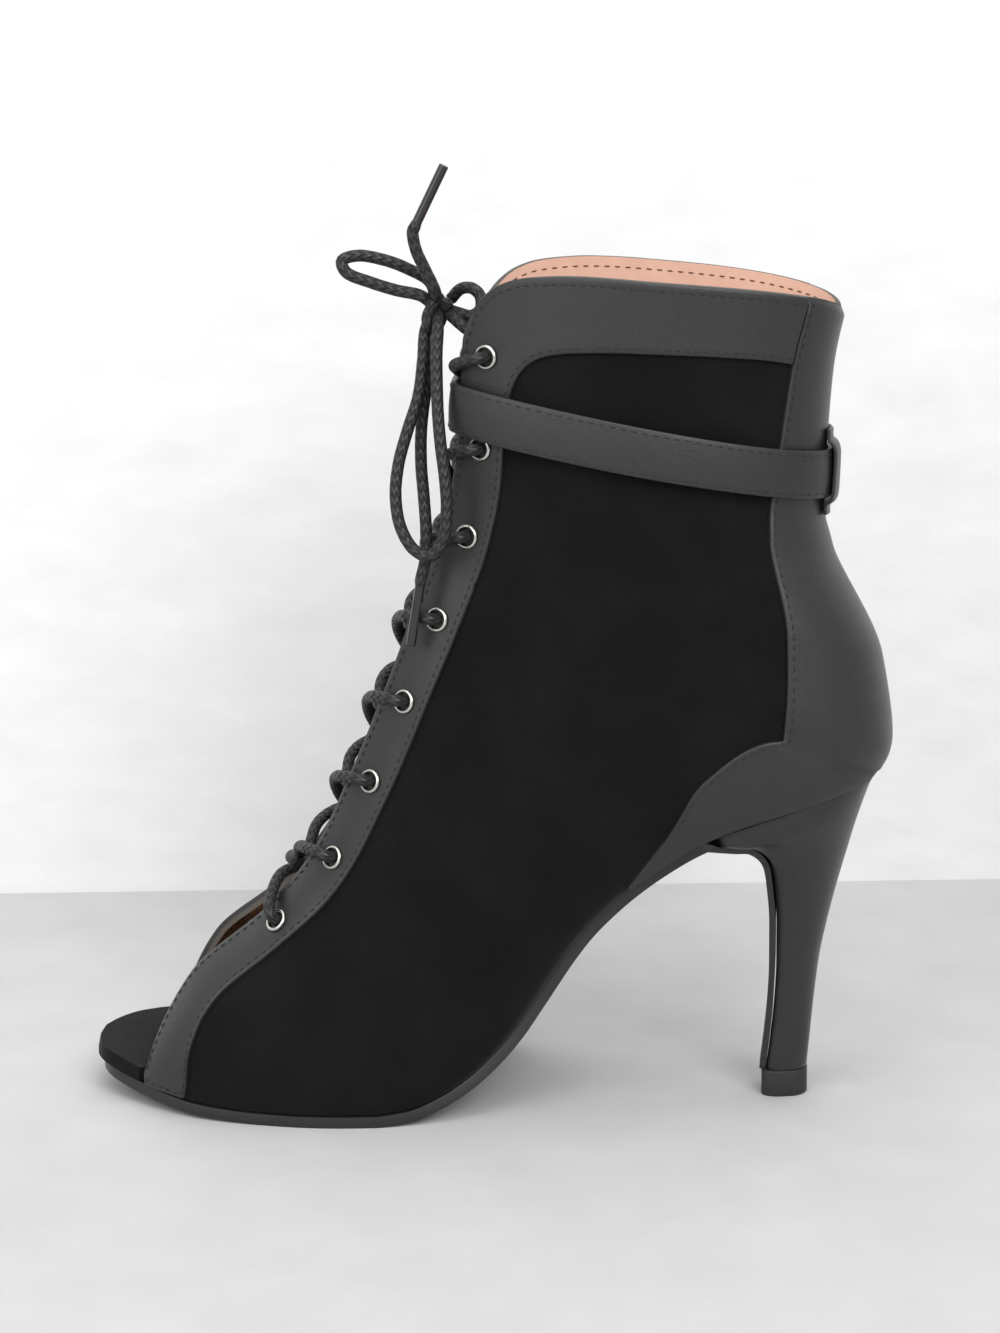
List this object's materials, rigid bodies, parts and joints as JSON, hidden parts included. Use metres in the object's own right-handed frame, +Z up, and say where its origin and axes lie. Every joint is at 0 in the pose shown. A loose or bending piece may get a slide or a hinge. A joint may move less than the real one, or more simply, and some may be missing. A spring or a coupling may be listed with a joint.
{
  "type": "heeled dance shoe",
  "caption": "Open-toe laced ankle bootie in suede and smooth leather, with an ankle strap, a bow and a high slim heel.",
  "frame": {"origin": "middle of the forefoot's flat spot on the floor", "axes": "+X to the toe, +Y to the wearer's left, which is this right shoe's inner side, +Z up"},
  "size_m": [0.2351, 0.0819, 0.2733],
  "materials": {
    "suede": "black suede",
    "smooth_leather": "black, fine grain, satin",
    "sole_leather": "black, satin edge",
    "grey_lining": "grey, matt",
    "hard_rubber": "hard, satin",
    "antique_nickel": "dark antique nickel, bright on the rim",
    "black_lace": "round braid, lightly waxed",
    "aglet_sleeve": "black, glossy"
  },
  "bodies": {
    "root": {"upper": "suede", "outsole": "sole_leather", "insole": "suede", "tongue": "grey_lining", "heel": "smooth_leather", "top_lift": "hard_rubber", "facing_inner": "smooth_leather", "facing_outer": "smooth_leather", "counter": "smooth_leather", "ankle_strap": "smooth_leather", "strap_keeper": "smooth_leather", "eyelet_inner_1": "antique_nickel", "eyelet_inner_2": "antique_nickel", "eyelet_inner_3": "antique_nickel", "eyelet_inner_4": "antique_nickel", "eyelet_inner_5": "antique_nickel", "eyelet_inner_6": "antique_nickel", "eyelet_inner_7": "antique_nickel", "eyelet_inner_8": "antique_nickel", "eyelet_outer_1": "antique_nickel", "eyelet_outer_2": "antique_nickel", "eyelet_outer_3": "antique_nickel", "eyelet_outer_4": "antique_nickel", "eyelet_outer_5": "antique_nickel", "eyelet_outer_6": "antique_nickel", "eyelet_outer_7": "antique_nickel", "eyelet_outer_8": "antique_nickel", "lace_crossing_1": "black_lace", "lace_crossing_2": "black_lace", "lace_crossing_3": "black_lace", "lace_crossing_4": "black_lace", "lace_crossing_5": "black_lace", "lace_crossing_6": "black_lace", "lace_crossing_7": "black_lace", "lace_knot": "black_lace", "lace_loop_ahead": "black_lace", "lace_loop_down": "black_lace", "lace_end_up": "black_lace", "lace_end_down": "black_lace", "aglet_up": "aglet_sleeve", "aglet_down": "aglet_sleeve"}
  },
  "joints": []
}
